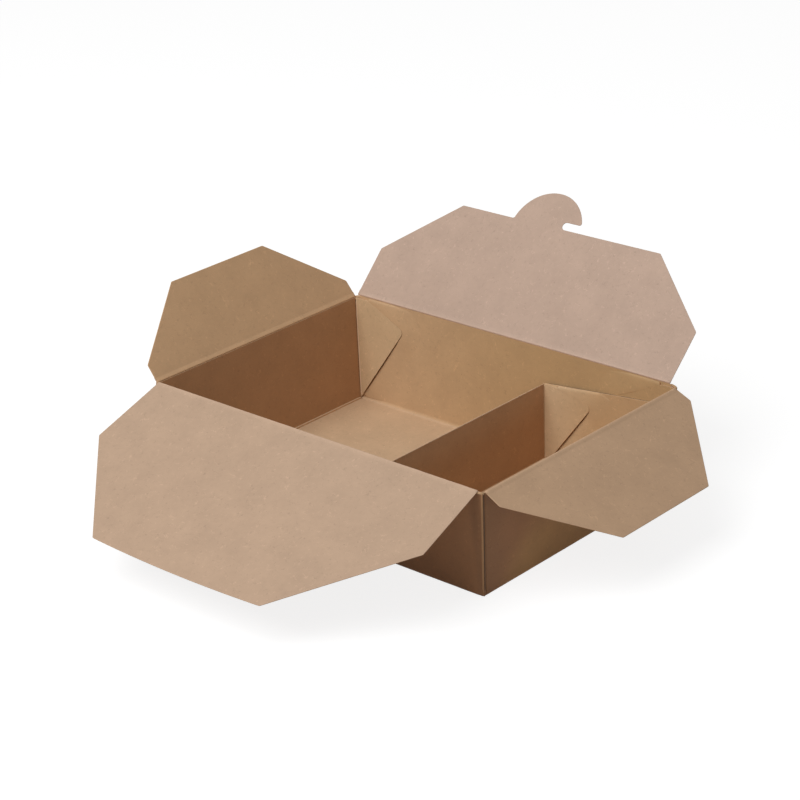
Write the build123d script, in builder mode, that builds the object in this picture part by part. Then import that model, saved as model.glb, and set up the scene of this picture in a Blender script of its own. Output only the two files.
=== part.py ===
from build123d import *
import os
from math import atan2, cos, degrees, hypot, radians, sin, sqrt, tan

# Kraft board takeaway box, open, with a glued divider insert.
# Origin at the middle of the base where it rests, X along the box, Y to the back, Z up.
# All lengths are millimetres and all angles degrees.

# Board
board = 0.45                    # thickness of the kraft board
fold_gap = 0.12                 # room between layers that slide past each other
overrun = 3.0                   # how far a cut runs past what it cuts

# The folded tray
rim_length = 200.0              # along the long rim creases
rim_width = 140.0               # along the short rim creases
depth = 53.0                    # table to rim
wall_lean = 5.5                 # how far each wall leans out over the depth
fold_radius = 0.9               # outside radius of the creases round the floor
corner_radius = 1.0             # outside radius of the doubled fold at each corner
seam_depth = 0.35               # groove where that fold meets the short wall

# The corner webs, each folded in two and glued inside a long wall
web_diagonal = 50.0             # foot of the corner to the tip of the web
web_reach = 8.0                 # from the corner to where the web leaves the rim
web_tip_radius = 2.0
web_fold_radius = 0.4           # of the fold along the diagonal

# The divider insert, a second folded sheet
small_length = 66.9             # foot of its upright to the foot of the right wall
divider_height = 37.6           # table to the top of the upright
divider_lean = 2.8              # how far the upright leans back over that height
divider_web_foot = 3.5          # from the corner to the foot of the web's diagonal
divider_web_diagonal = 39.8
divider_web_reach = 8.0
cheek_rise = 5.7                # climb of the cheeks' straight top from the upright
cheek_curve = 10.5              # last stretch, where their top curves up to the rim
cheek_end_drop = 1.6            # from the rim down to the ends of the cheeks

# Front flap
front_angle = -20.5             # degrees above the level, negative leans down
front_depth = 92.5              # from its crease to its outer edge
front_bow = 1.3                 # how far the middle of the outer edge stands out
front_crease_inset = 2.0        # from the rim corner to the end of the crease
front_widest_inset = 0.3        # the same at the widest place
front_widest_at = 40.0          # from the crease to the widest place
front_edge_inset = 48.4         # the same at the ends of the outer edge

# Back flap, with its hook
back_angle = 47.2
back_depth = 59.5
back_crease_inset = 3.0
back_widest_inset = 2.4
back_widest_at = 26.5
back_edge_inset = 39.0
hook_radius = 20.8
hook_offset = 7.8               # from the flap's middle to the middle of the hook
hook_sink = 3.0                 # from the flap's edge in to the middle of the hook
hook_mouth = 4.0                # height of the slot between hook and flap
hook_mouth_end = 8.9            # from the middle of the hook to the blind end of the slot
hook_tip_radius = 1.3
hook_root_radius = 1.2

# Side flaps, of one outline, the left one a little shorter
left_angle = 51.3
left_depth = 42.4
right_angle = -26.8
right_depth = 50.0
side_crease_inset = 1.7
side_widest_inset = 1.2
side_widest_at = 9.2
side_edge_inset = 38.7

flap_corner_radius = 1.4

# Worked out from the sizes above
base_length = rim_length - wall_lean - wall_lean
base_width = rim_width - wall_lean - wall_lean
lean = degrees(atan2(wall_lean, depth))
wall_slant = hypot(depth, wall_lean)
divider_foot = base_length / 2 - small_length
cheek_shoulder = base_length / 2 - cheek_curve
cheek_shoulder_height = divider_height + cheek_rise
crease_offset = board / 2 + fold_gap
crease_step = board + fold_gap
front_lift = crease_step
back_lift = crease_step + crease_step

FRONT, RIGHT, BACK, LEFT = 0.0, 90.0, 180.0, 270.0
half_square_angle = RIGHT / 2


def outward(side):
    """Level direction out of the box at one side."""
    return Vector(0, -1, 0).rotate(Axis.Z, side)


def along(side):
    """Direction along the crease at one side, anticlockwise seen from above."""
    return Vector(1, 0, 0).rotate(Axis.Z, side)


def rising(side, angle):
    """Direction out of the box at one side, at an angle above the level."""
    return outward(side) * cos(radians(angle)) + Vector(0, 0, 1) * sin(radians(angle))


def leaning_face(side, foot, angle, height=0):
    """Outer face of a wall: its foot at a distance from the middle, leaning out by an angle."""
    origin = outward(side) * foot + Vector(0, 0, 1) * height
    return Plane(origin=origin, x_dir=along(side), z_dir=rising(side, -angle))


def flap_plane(side, half_span, lift, angle):
    """Middle plane of a flap, its origin on the crease and Y pointing away from the box."""
    crease_height = depth + lift + board * sin(radians(lean)) + crease_offset
    reach = half_span + lift * tan(radians(lean)) + crease_offset
    origin = outward(side) * reach + Vector(0, 0, 1) * crease_height
    return Plane(origin=origin, x_dir=along(side), z_dir=along(side).cross(rising(side, angle)))


def tapered_block(foot_height, length, width, corner, fold):
    """Block that widens upwards like the box, with rounded corners and a rounded foot."""
    with BuildPart() as block:
        with BuildSketch(Plane.XY.offset(foot_height)):
            Rectangle(length, width)
        extrude(amount=depth, taper=-lean)
        fillet(block.edges().group_by(Axis.Z)[1], corner)
        fillet(block.faces().sort_by(Axis.Z)[0].edges(), fold)
    return block.part


def folded_web(plane, foot, top, turn, diagonal, reach, start=0):
    """Corner web: two layers turned back from the corner's edge, foot to top, into the wall.

    The diagonal starts at the foot of the edge, or a little way from it along the floor.
    """
    edge = Vector(*top) - Vector(*foot)
    toe = Vector(foot[0] + start, foot[1])
    tip = toe + edge.normalized().rotate(Axis.Z, turn) * diagonal
    shoulder = (top[0] - reach, top[1])
    corners = [foot, toe, tip, shoulder, top] if start else [foot, tip, shoulder, top]
    with BuildPart() as web:
        with BuildSketch(plane):
            with BuildLine():
                Polyline(*corners, close=True)
            make_face()
            fillet(vertices().sort_by_distance(tip)[0], web_tip_radius)
        extrude(amount=-board - board)
        fold = plane.from_local_coords(tip) - plane.from_local_coords(toe)
        fillet(web.edges().filter_by(Axis(plane.origin, fold)), web_fold_radius)
    return web.part


def flap(plane, span, insets, widest_at, reach, bow=0):
    """Flap from its rolled crease out to its edge, widest a little way from the crease.

    The insets run from the ends of the span to the crease, the widest place and the edge.
    """
    crease, widest, edge = [span - inset - inset for inset in insets]
    roll = Plane(origin=plane.origin, x_dir=plane.z_dir, z_dir=plane.x_dir)
    with BuildPart() as panel:
        with BuildSketch(plane) as outline:
            with BuildLine():
                Polyline(
                    (edge / 2, reach),
                    (widest / 2, widest_at),
                    (crease / 2, 0),
                    (-crease / 2, 0),
                    (-widest / 2, widest_at),
                    (-edge / 2, reach),
                )
                if bow > 0:
                    ThreePointArc((-edge / 2, reach), (0, reach + bow), (edge / 2, reach))
                else:
                    Line((-edge / 2, reach), (edge / 2, reach))
            make_face()
            fillet(outline.vertices().group_by(Axis.Y)[1:], flap_corner_radius)
        extrude(amount=board / 2, both=True)
        with BuildSketch(roll):
            Circle(board / 2)
        extrude(amount=crease / 2, both=True)
    return panel.part


def at_each_corner(piece):
    """The same piece at all four corners of the box."""
    opposite = piece.mirror(Plane.YZ)
    return [piece, opposite, piece.mirror(Plane.XZ), opposite.mirror(Plane.XZ)]


# Tray: floor, four leaning walls and the corner webs, folded from one sheet
front_face = leaning_face(FRONT, base_width / 2, lean)
inner_inset = board / cos(radians(lean)) - board * tan(radians(lean))
edge_turn = degrees(atan2(wall_lean, wall_slant))
corner_edge = Vector(wall_lean, -wall_lean, depth)
seam_foot = Vector(base_length / 2, -base_width / 2, 0) + along(RIGHT) * (corner_radius + corner_radius)

corner_web = folded_web(
    front_face.offset(-board),
    (base_length / 2, 0),
    (rim_length / 2, wall_slant),
    half_square_angle - edge_turn,
    web_diagonal,
    web_reach,
)
with BuildPart() as seam:
    with BuildSketch(Plane(origin=seam_foot, x_dir=along(RIGHT), z_dir=corner_edge)):
        RegularPolygon(radius=seam_depth, side_count=4)
    extrude(amount=corner_edge.length + overrun)

with BuildPart() as tray:
    add(tapered_block(0, base_length, base_width, corner_radius, fold_radius))
    add(
        tapered_block(
            board,
            base_length - inner_inset - inner_inset,
            base_width - inner_inset - inner_inset,
            corner_radius - board,
            fold_radius - board,
        ),
        mode=Mode.SUBTRACT,
    )
    add(at_each_corner(corner_web))
    add(at_each_corner(seam.part), mode=Mode.SUBTRACT)
    # low lips carry the creases of the long flaps above those of the side flaps
    for side, lift, inset in ((FRONT, front_lift, front_crease_inset), (BACK, back_lift, back_crease_inset)):
        face = leaning_face(side, base_width / 2, lean)
        with BuildSketch(face):
            with Locations((0, wall_slant)):
                Rectangle(rim_length - inset - inset, lift + lift)
        extrude(amount=-board)
tray.part.label = "tray"


# Divider insert: its own floor, the upright that divides the box, two cheeks and two webs
cheek_inset = board + board + board + fold_gap
cheek_face = front_face.offset(-cheek_inset)
cheek_end = depth - cheek_end_drop
upright_lean = degrees(atan2(divider_lean, divider_height - board))
upright_face = leaning_face(LEFT, -divider_foot, upright_lean, board)
upright_top = divider_foot - divider_lean
end_room = fold_radius - board + fold_gap


def up_cheek(height, inset):
    """Distance up a face set in from the front wall to a height above the table."""
    return (height - inset * sin(radians(lean))) / cos(radians(lean))


def cheek_half(height):
    """Half the width across the outsides of the cheeks at a height."""
    return base_width / 2 + height * tan(radians(lean)) - cheek_inset / cos(radians(lean))


def insert_end(height):
    """X of the insert's end beside the tray's right wall at a height."""
    return base_length / 2 + (height * sin(radians(lean)) - board) / cos(radians(lean)) - end_room


def insert_block(inset, corner, fold):
    """Block within the upright and the cheeks, set in by an inset, with rounded folds."""
    half = cheek_half(board + inset) - inset / cos(radians(lean))
    length = rim_length / 2 - upright_top + overrun
    with BuildPart() as block:
        with BuildSketch(Plane.XY.offset(board + inset)):
            with Locations((rim_length / 2 - length / 2, 0)):
                Rectangle(length, half + half)
        extrude(amount=depth, taper=-lean)
        split(bisect_by=upright_face.offset(-inset), keep=Keep.BOTTOM)
        fillet(block.faces().sort_by(Axis.X)[0].edges().group_by(Axis.Z)[1], corner)
        fillet(block.faces().sort_by(Axis.Z)[0].edges(), fold)
    return block.part


divider_web = folded_web(
    cheek_face.offset(-board),
    (divider_foot, up_cheek(board, cheek_inset + board)),
    (upright_top, up_cheek(divider_height, cheek_inset + board)),
    (upright_lean + edge_turn) / 2 - half_square_angle,
    divider_web_diagonal,
    -divider_web_reach,
    divider_web_foot,
)
with BuildPart() as divider_insert:
    add(insert_block(0, corner_radius, fold_radius))
    add(insert_block(board, corner_radius - board, fold_radius - board), mode=Mode.SUBTRACT)
    # cut to its outline seen from the front: level over the upright, then up to the rim
    with BuildSketch(Plane.XZ):
        with BuildLine():
            crest = Line((upright_top, divider_height), (cheek_shoulder, cheek_shoulder_height))
            climb = TangentArc(crest @ 1, (insert_end(cheek_end), cheek_end), tangent=crest % 1)
            Polyline(
                climb @ 1,
                (insert_end(0), 0),
                (upright_top - overrun, 0),
                (upright_top - overrun, divider_height),
                crest @ 0,
            )
        make_face()
    extrude(amount=rim_width, both=True, mode=Mode.INTERSECT)
    add(divider_web)
    add(divider_web.mirror(Plane.XZ))
divider_insert.part.label = "divider_insert"


# The four flaps, each a body that turns on its crease
front_insets = (front_crease_inset, front_widest_inset, front_edge_inset)
back_insets = (back_crease_inset, back_widest_inset, back_edge_inset)
side_insets = (side_crease_inset, side_widest_inset, side_edge_inset)
front_plane = flap_plane(FRONT, rim_width / 2, front_lift, front_angle)
back_plane = flap_plane(BACK, rim_width / 2, back_lift, back_angle)
left_plane = flap_plane(LEFT, rim_length / 2, 0, left_angle)
right_plane = flap_plane(RIGHT, rim_length / 2, 0, right_angle)

with BuildPart() as front_flap:
    add(flap(front_plane, rim_length, front_insets, front_widest_at, front_depth, front_bow))
front_flap.part.label = "front_flap"

with BuildPart() as left_flap:
    add(flap(left_plane, rim_width, side_insets, side_widest_at, left_depth))
left_flap.part.label = "left_flap"

with BuildPart() as right_flap:
    add(flap(right_plane, rim_width, side_insets, side_widest_at, right_depth))
right_flap.part.label = "right_flap"

# The back flap's edge carries a round hook, with its mouth along the edge
hook_root = (hook_offset + sqrt(hook_radius**2 - hook_sink**2), back_depth)
hook_tip_rise = hook_sink + hook_mouth
hook_tip = (hook_offset - sqrt(hook_radius**2 - hook_tip_rise**2), back_depth + hook_mouth)
mouth_length = hook_radius - hook_mouth_end + hook_mouth + overrun
with BuildPart() as back_flap:
    add(flap(back_plane, rim_length, back_insets, back_widest_at, back_depth))
    with BuildSketch(back_plane) as hook:
        with Locations((hook_offset, back_depth - hook_sink)):
            Circle(hook_radius)
        with Locations((hook_offset - hook_mouth_end - mouth_length / 2, back_depth + hook_mouth / 2)):
            SlotOverall(mouth_length, hook_mouth, mode=Mode.SUBTRACT)
        fillet(hook.vertices().sort_by_distance(hook_tip)[0], hook_tip_radius)
    extrude(amount=board / 2, both=True)
    across = back_flap.edges().filter_by(Axis(back_plane.origin, back_plane.z_dir))
    fillet(across.sort_by_distance(back_plane.from_local_coords(hook_root))[0], hook_root_radius)
back_flap.part.label = "back_flap"

os.makedirs("parts", exist_ok=True)
export_step(tray.part, "parts/tray.step")
export_step(divider_insert.part, "parts/divider_insert.step")
export_step(front_flap.part, "parts/front_flap.step")
export_step(back_flap.part, "parts/back_flap.step")
export_step(left_flap.part, "parts/left_flap.step")
export_step(right_flap.part, "parts/right_flap.step")
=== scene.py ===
# %% [markdown]
# # A kraft takeaway box, open, with a divider
# The box is one sheet of brown kraft board, creased and glued, with a second folded sheet
# glued in as a divider. The measured model comes first and stays fixed: its tray and its
# divider keep their shapes here and get their finish. The four lid flaps are made again as
# thin cards with rounded cut edges, and the folds get the small beads that a creasing rule
# presses into real board. All lengths below are millimetres until a mesh is written.

# %% Load the measured model
import math

import bpy
import numpy as np
from mathutils import Matrix, Vector
from mathutils.geometry import delaunay_2d_cdt


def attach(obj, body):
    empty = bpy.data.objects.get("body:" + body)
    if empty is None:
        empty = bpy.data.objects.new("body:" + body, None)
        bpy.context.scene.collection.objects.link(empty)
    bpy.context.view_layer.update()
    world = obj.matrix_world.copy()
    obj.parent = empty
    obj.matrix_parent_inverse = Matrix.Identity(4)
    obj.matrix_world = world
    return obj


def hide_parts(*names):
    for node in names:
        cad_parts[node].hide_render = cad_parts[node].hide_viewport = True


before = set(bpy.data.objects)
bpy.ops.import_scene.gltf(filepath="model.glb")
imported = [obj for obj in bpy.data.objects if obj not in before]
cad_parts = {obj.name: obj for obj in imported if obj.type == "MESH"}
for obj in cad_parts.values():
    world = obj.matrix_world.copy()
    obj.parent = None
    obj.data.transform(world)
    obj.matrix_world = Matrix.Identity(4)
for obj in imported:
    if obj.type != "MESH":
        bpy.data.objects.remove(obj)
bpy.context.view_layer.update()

# %% [markdown]
# ## Sizes
# The new pieces must sit exactly on the measured ones, so the sizes that they share with the
# source are written once here: the board, the rim, the base and the lean of the walls.

# %% Shared sizes
METRE = 0.001
BOARD = 0.45
FOLD_GAP = 0.12
RIM = np.array([200.0, 140.0])
DEPTH = 53.0
WALL_LEAN = 5.5
BASE = RIM - 2 * WALL_LEAN
LEAN = math.atan2(WALL_LEAN, DEPTH)
SLANT = math.hypot(DEPTH, WALL_LEAN)
CREASE_OFFSET = BOARD / 2 + FOLD_GAP
CREASE_STEP = BOARD + FOLD_GAP
WEB_DIAGONAL = 50.0

SMALL_LENGTH = 66.9
DIVIDER_HEIGHT = 37.6
DIVIDER_LEAN = 2.8
DIVIDER_WEB_FOOT = 3.5
DIVIDER_WEB_DIAGONAL = 39.8
CHEEK_RISE = 5.7
CHEEK_CURVE = 10.5
CHEEK_END_DROP = 1.6
CHEEK_INSET = 3 * BOARD + FOLD_GAP
DIVIDER_FOOT = BASE[0] / 2 - SMALL_LENGTH
DIVIDER_TOP = DIVIDER_FOOT - DIVIDER_LEAN
CHEEK_SHOULDER = BASE[0] / 2 - CHEEK_CURVE

UP = np.array([0.0, 0.0, 1.0])
CORNERS = [(-1, 1), (1, 1), (-1, -1), (1, -1)]


def corner_name(x, y):
    """Name of the corner at the side x = -1 or 1 and the side y = -1 or 1."""
    return f"{'left' if x < 0 else 'right'}_{'back' if y > 0 else 'front'}"


def side_name(y):
    """Name of the long side at y = -1 or 1."""
    return "back" if y > 0 else "front"


print("base", BASE, "lean in degrees", round(math.degrees(LEAN), 2))

# %% [markdown]
# ## Camera
# The photograph was taken from the front right, a little above the box. Its place, its turn
# and its lens were fitted to the corners of the box in the picture, so the camera is set from
# those numbers and needs no aiming by eye.

# %% Camera
AZIMUTH, ELEVATION, ROLL = (math.radians(a) for a in (42.594, 23.499, -2.503))
DISTANCE = 1232.543
TARGET = np.array([-76.46, 73.714, 0.0])
FOCAL_PIXELS = 2392.306
PICTURE = 800
SENSOR = 36.0

back = np.array([
    math.sin(AZIMUTH) * math.cos(ELEVATION),
    -math.cos(AZIMUTH) * math.cos(ELEVATION),
    math.sin(ELEVATION),
])
level = np.array([math.cos(AZIMUTH), math.sin(AZIMUTH), 0.0])
upright = np.cross(back, level)
right = math.cos(ROLL) * level + math.sin(ROLL) * upright
above = -math.sin(ROLL) * level + math.cos(ROLL) * upright

camera = bpy.data.objects.new("camera", bpy.data.cameras.new("camera"))
camera.data.sensor_width = SENSOR
camera.data.lens = FOCAL_PIXELS * SENSOR / PICTURE
stand = np.eye(4)
stand[:3, :3] = np.column_stack([right, above, back])
stand[:3, 3] = (TARGET + back * DISTANCE) * METRE
camera.matrix_world = Matrix(stand.tolist())
bpy.context.scene.collection.objects.link(camera)
bpy.context.scene.camera = camera
bpy.context.scene.view_settings.view_transform = "Standard"
print("lens", round(camera.data.lens, 2), "mm")

# %% [markdown]
# ## Shader maths in Python
# A finish is easiest to read as a formula. It could be drawn by hand in the node editor, but
# a formula is shorter and can be checked. This class wraps one socket, so that plus, minus
# and times add Math nodes, and one method adds any other node.

# %% A socket with operators
def as_colour(value):
    """Red, green and blue get the alpha that a colour socket needs. A wire stays as it is."""
    return value if isinstance(value, Wire) else (*value, 1.0)


class Wire:
    """One output of a material's nodes. Sums and products of wires add Math nodes."""

    def __init__(self, tree, socket=None):
        self.tree, self.socket = tree, socket

    def node(self, kind, settings=None, inputs=None, output=0):
        """Adds a node: its settings first, then the values or links of its sockets."""
        made = self.tree.nodes.new("ShaderNode" + kind)
        for key, value in (settings or {}).items():
            setattr(made, key, value)
        for key, value in (inputs or {}).items():
            if isinstance(value, Wire):
                self.tree.links.new(value.socket, made.inputs[key])
            else:
                made.inputs[key].default_value = value
        return Wire(self.tree, made.outputs[output] if made.outputs else None)

    def maths(self, operation, *values):
        return self.node("Math", {"operation": operation}, dict(enumerate(values)))

    def __add__(self, other):
        return self.maths("ADD", self, other)

    def __sub__(self, other):
        return self.maths("SUBTRACT", self, other)

    def __rsub__(self, other):
        return self.maths("SUBTRACT", other, self)

    def __mul__(self, other):
        return self.maths("MULTIPLY", self, other)

    def __abs__(self):
        return self.maths("ABSOLUTE", self)

    __radd__ = __add__
    __rmul__ = __mul__

    def fade(self, low, high):
        """0 below low, 1 above high and a smooth step between, or falling if low is above high."""
        rising = {"interpolation_type": "SMOOTHSTEP"}
        ends = {"Value": self, "From Min": min(low, high), "From Max": max(low, high)}
        if low > high:
            ends.update({"To Min": 1.0, "To Max": 0.0})
        return self.node("MapRange", rising, ends)

    def tint(self, colour, other):
        """A colour mixed with another one, by this wire as the factor."""
        ends = {6: as_colour(colour), 7: as_colour(other)}
        return self.node("Mix", {"data_type": "RGBA"}, {0: self, **ends}, 2)


print("wire methods:", [name for name in vars(Wire) if not name.startswith("__")])

# %% [markdown]
# ## The finish of kraft board
# Kraft board is unbleached wood fibre. Close up it has three things: a soft cloudiness where
# the pulp lies thicker, short curly fibres both darker and lighter than the ground, and a few
# dark specks of bark. An image texture would need a map for each piece, so all three are
# noise in millimetres on Object coordinates. A thin curved line comes from noise too: where a
# smooth noise crosses its middle value it draws lines, and a second noise breaks them into
# short fibres. The same fibres raise the surface a little, through one bump.

# %% Fibres and specks
def noise(start, place, size, detail, seed, stretch=(1.0, 1.0, 1.0)):
    """Smooth noise from 0 to 1, with features about `size` millimetres across."""
    scaled = start.node("VectorMath", {"operation": "MULTIPLY"}, {0: place, 1: stretch})
    shifted = start.node("VectorMath", {"operation": "ADD"}, {0: scaled, 1: (seed, seed, seed)})
    return start.node("TexNoise", None, {
        "Vector": shifted, "Scale": 1.0 / (size * METRE), "Detail": detail, "Roughness": 0.55,
    })


def fibres(start, place, size, width, share, seed):
    """Short curved lines: where one noise crosses its middle, kept where another is high."""
    line = abs(noise(start, place, size, 1.0, seed) - 0.5).fade(width, width * 0.2)
    kept = noise(start, place, size * 0.8, 1.0, seed + 3.1).fade(share, share + 0.06)
    return line * kept


def specks(start, place, spacing, radius, seed):
    """Round dots, one in some of the cells of a Voronoi pattern."""
    shifted = start.node("VectorMath", {"operation": "ADD"}, {0: place, 1: (seed, seed, seed)})
    cells = {"Vector": shifted, "Scale": 1.0 / (spacing * METRE), "Randomness": 1.0}
    near = start.node("TexVoronoi", None, cells).fade(radius / spacing, 0.3 * radius / spacing)
    chosen = start.node("TexVoronoi", None, cells, "Color")
    split = start.node("SeparateColor", None, {0: chosen})
    return near * split.fade(0.55, 0.6)


print("patterns ready")

# %% [markdown]
# ## Tones of the walls
# One sheet has many tones here, and most of them are painted light and shade. The inner faces
# of the short walls are in shade, and their darker, redder colour is painted shade. The long
# walls darken a little towards the right, also painted shade, and the divider's outer face grows
# paler towards its top, which is painted light. Outside, the right wall is paler and yellower at
# its foot, painted light from the floor, and darker beside the front corner, painted shade. The
# floor is palest, and outside the board is browner. Painting them by hand would need a picture
# for each wall. Here the way that a face looks tells which wall it is, and soft steps along X, Y
# and Z blend the colours.

# %% Colours of a folded sheet
# Tones of the right wall's outside. The first, paler and yellower, is painted light thrown up from
# the floor onto its foot. The second, darker, is painted shade beside the front corner.
PAINTED_BOUNCE_LIGHT, SHADED = (1.44, 1.62, 1.46), (0.76, 0.76, 0.76)


def toned(colour, shares):
    """A colour whose red, green and blue are changed by shares."""
    return tuple(share * value for share, value in zip(shares, colour))


def wall_colours(start, place, inside, outside, short, far, run, painted_top_light, base, painted_light_share):
    """Colour of each face of a folded sheet, by the way it looks. Places are in metres.

    inside is the colour of the long walls' inner faces, and far the darker one that they change
    to between the two places in run, which is painted shade. short is the darker, redder colour
    of inner faces that look along the box, also painted shade, base that of the floor, and
    outside that of outer faces. The argument after run is the paler colour that outer faces
    reach at their top, which is painted light. The last argument is how much of two tones the
    right wall shows outside: one paler and yellower at its foot, which is painted light thrown
    up from the floor, and one darker beside the front corner, which is painted shade.
    """
    facing = start.node("NewGeometry", output="True Normal")
    flat = start.node("VectorMath", {"operation": "MULTIPLY"}, {0: place, 1: (1.0, 1.0, 0.0)})
    away = start.node("VectorMath", {"operation": "DOT_PRODUCT"}, {0: facing, 1: flat}, "Value")
    down = start.node("SeparateXYZ", None, {0: facing}, "Z").fade(-0.6, -0.9)
    lengthwise = abs(start.node("SeparateXYZ", None, {0: facing}, "X")).fade(0.45, 0.75)
    along = start.node("SeparateXYZ", None, {0: place}, "X")
    across = start.node("SeparateXYZ", None, {0: place}, "Y")
    up = start.node("SeparateXYZ", None, {0: place}, "Z")
    level = start.node("SeparateXYZ", None, {0: facing}, "Z").fade(0.6, 0.9)
    # Painted shade: the long walls' inner faces darken towards the far colour, and the inner faces
    # of the short walls take their darker, redder colour.
    inner = lengthwise.tint(along.fade(*run).tint(inside, far), short)
    inner = level.tint(inner, base)
    # Painted light on the right wall's outer foot, and painted shade beside its front corner.
    right_wall = along.fade(0.090, 0.0945)
    painted_bounce_light = right_wall * (across - up * 0.5).fade(-0.062, -0.034) * up.fade(0.038, 0.010)
    shaded = right_wall * across.fade(-0.045, -0.066) * painted_light_share
    # Outer faces grow paler towards their top: painted light.
    outer = up.fade(0.018, 0.044).tint(outside, painted_top_light)
    outer = (painted_bounce_light * painted_light_share).tint(outer, toned(outside, PAINTED_BOUNCE_LIGHT))
    outer = shaded.tint(outer, toned(outside, SHADED))
    return start.maths("MAXIMUM", away.fade(0.0, 0.02), down).tint(inner, outer)


print("painted_bounce_light", PAINTED_BOUNCE_LIGHT, "shaded", SHADED)

# %% The finish
SHINE, SPECULAR, REFRACTION = 0.62, 0.3, 1.42
BUMP_STRENGTH, BUMP_DISTANCE = 0.22, 0.0001


def kraft(name, inside, outside=None, walls=None):
    """Kraft board whose inner face has one colour and whose outer face another.

    walls holds the further colours of a folded sheet, as wall_colours takes them. Without
    walls the piece tells its face by an attribute, and without outside it has one colour.
    """
    material = bpy.data.materials.new(name)
    material.use_nodes = True
    tree = material.node_tree
    tree.nodes.clear()
    start = Wire(tree)
    place = start.node("TexCoord", output="Object")

    if walls:
        ground = wall_colours(start, place, inside, outside, **walls)
    elif outside:
        face = start.node("Attribute", {"attribute_name": "face"}, output="Fac")
        ground = face.fade(0.6, 0.4).tint(inside, outside)
    else:
        ground = start.node("RGB")
        ground.socket.default_value = as_colour(inside)

    cloud = noise(start, place, size=16.0, detail=3.0, seed=0.0)
    pulp = noise(start, place, size=3.2, detail=2.0, seed=5.0, stretch=(1.0, 1.0, 1.6))
    grain = noise(start, place, size=0.5, detail=2.0, seed=9.0)
    dark = fibres(start, place, size=2.6, width=0.022, share=0.52, seed=1.7)
    pale = fibres(start, place, size=3.4, width=0.020, share=0.54, seed=7.3)
    spots = specks(start, place, spacing=7.0, radius=0.35, seed=4.0)

    value = 1.0 + (cloud - 0.5) * 0.24 + (pulp - 0.5) * 0.10 + (grain - 0.5) * 0.07
    value = value - dark * 0.13 + pale * 0.15 - spots * 0.18
    if outside and not walls:
        # Paler raw cut edges on the cards, and on the crease beads a paler tone that is painted
        # highlight.
        cut_and_highlight = start.node("Attribute", {"attribute_name": "cut_and_highlight"}, output="Fac")
        value = value + cut_and_highlight * 0.10
    grey = start.node("CombineColor", None, {0: value, 1: value, 2: value})
    multiply = {"data_type": "RGBA", "blend_type": "MULTIPLY", "clamp_result": False}
    colour = start.node("Mix", multiply, {0: 1.0, 6: ground, 7: grey}, 2)

    height = (grain - 0.5) * 0.5 + (pulp - 0.5) * 0.5 + dark * 0.35 + pale * 0.45
    relief = {"Height": height, "Strength": BUMP_STRENGTH, "Distance": BUMP_DISTANCE}
    bump = start.node("Bump", None, relief)
    rough = SHINE + (pulp - 0.5) * 0.10 + (grain - 0.5) * 0.08
    shader = start.node("BsdfPrincipled", None, {
        "Base Color": colour, "Roughness": rough, "Normal": bump, "IOR": REFRACTION,
        "Specular IOR Level": SPECULAR,
    })
    start.node("OutputMaterial", None, {"Surface": shader})
    return material


# The same board throughout: darker and browner outside the walls, and darker and redder on the
# inner faces of the short walls, which is painted shade. Each flap has a tone of its own, and
# the pinker, paler tone of the long flaps, which lie in full light, is painted sheen.
SHORT_WALL_SHADE, OUTSIDE = (0.445, 0.240, 0.118), (0.390, 0.193, 0.092)
DIVIDER_INSIDE, UNDER_FLAP = (0.615, 0.428, 0.256), (0.360, 0.180, 0.088)
finishes = {
    "tray": kraft("kraft_tray", (0.567, 0.372, 0.211), OUTSIDE, {
        "short": SHORT_WALL_SHADE, "far": (0.482, 0.303, 0.149), "run": (-0.08, 0.035),
        "painted_top_light": OUTSIDE, "base": (0.570, 0.388, 0.240), "painted_light_share": 1.0,
    }),
    "divider_insert": kraft("kraft_divider", DIVIDER_INSIDE, SHORT_WALL_SHADE, {
        "short": SHORT_WALL_SHADE, "far": (0.525, 0.330, 0.172), "run": (0.025, 0.065),
        "painted_top_light": (0.495, 0.305, 0.176), "base": DIVIDER_INSIDE, "painted_light_share": 0.0,
    }),
    "front_flap": kraft("kraft_front", (0.492, 0.341, 0.236), UNDER_FLAP),
    "back_flap": kraft("kraft_back", (0.515, 0.371, 0.288), UNDER_FLAP),
    "left_flap": kraft("kraft_left", (0.519, 0.327, 0.181), UNDER_FLAP),
    "right_flap": kraft("kraft_right", (0.488, 0.319, 0.198), UNDER_FLAP),
}
# The pale fold and crease tones are painted highlight, for the light that a fold or a cut edge
# catches. The dark shade and soft_shade tones are painted shade.
SMALL_FINISHES = {
    "crease": (0.56, 0.375, 0.235), "web": (0.590, 0.408, 0.238), "fold": (0.68, 0.47, 0.30),
    "shade": (0.10, 0.055, 0.026), "soft_shade": (0.22, 0.13, 0.068),
    "roll": (0.42, 0.23, 0.115), "curl": (0.44, 0.275, 0.150),
}
small = {name: kraft(f"kraft_{name}", colour) for name, colour in SMALL_FINISHES.items()}
for node in ("tray", "divider_insert"):
    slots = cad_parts[node].data.materials
    if not len(slots):
        slots.append(finishes[node])
    for number in range(len(slots)):
        slots[number] = finishes[node]
print("finishes", sorted(finishes))

# %% [markdown]
# ## Meshes from arrays
# Every new piece is worked out as whole numpy arrays: points in millimetres and faces as rows
# of numbers. The volume that the faces enclose comes from one sum. Where it is negative, the
# faces look inwards and are turned round.

# %% From arrays to a piece
def unit(vectors):
    """Vectors of length one."""
    vectors = np.asarray(vectors, float)
    return vectors / np.linalg.norm(vectors, axis=-1, keepdims=True)


def volume(points, triangles):
    """Sum of a . (b x c) / 6 over the triangles."""
    a, b, c = (points[triangles[:, k]] for k in range(3))
    return np.einsum("ij,ij->i", a, np.cross(b, c)).sum() / 6


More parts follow.
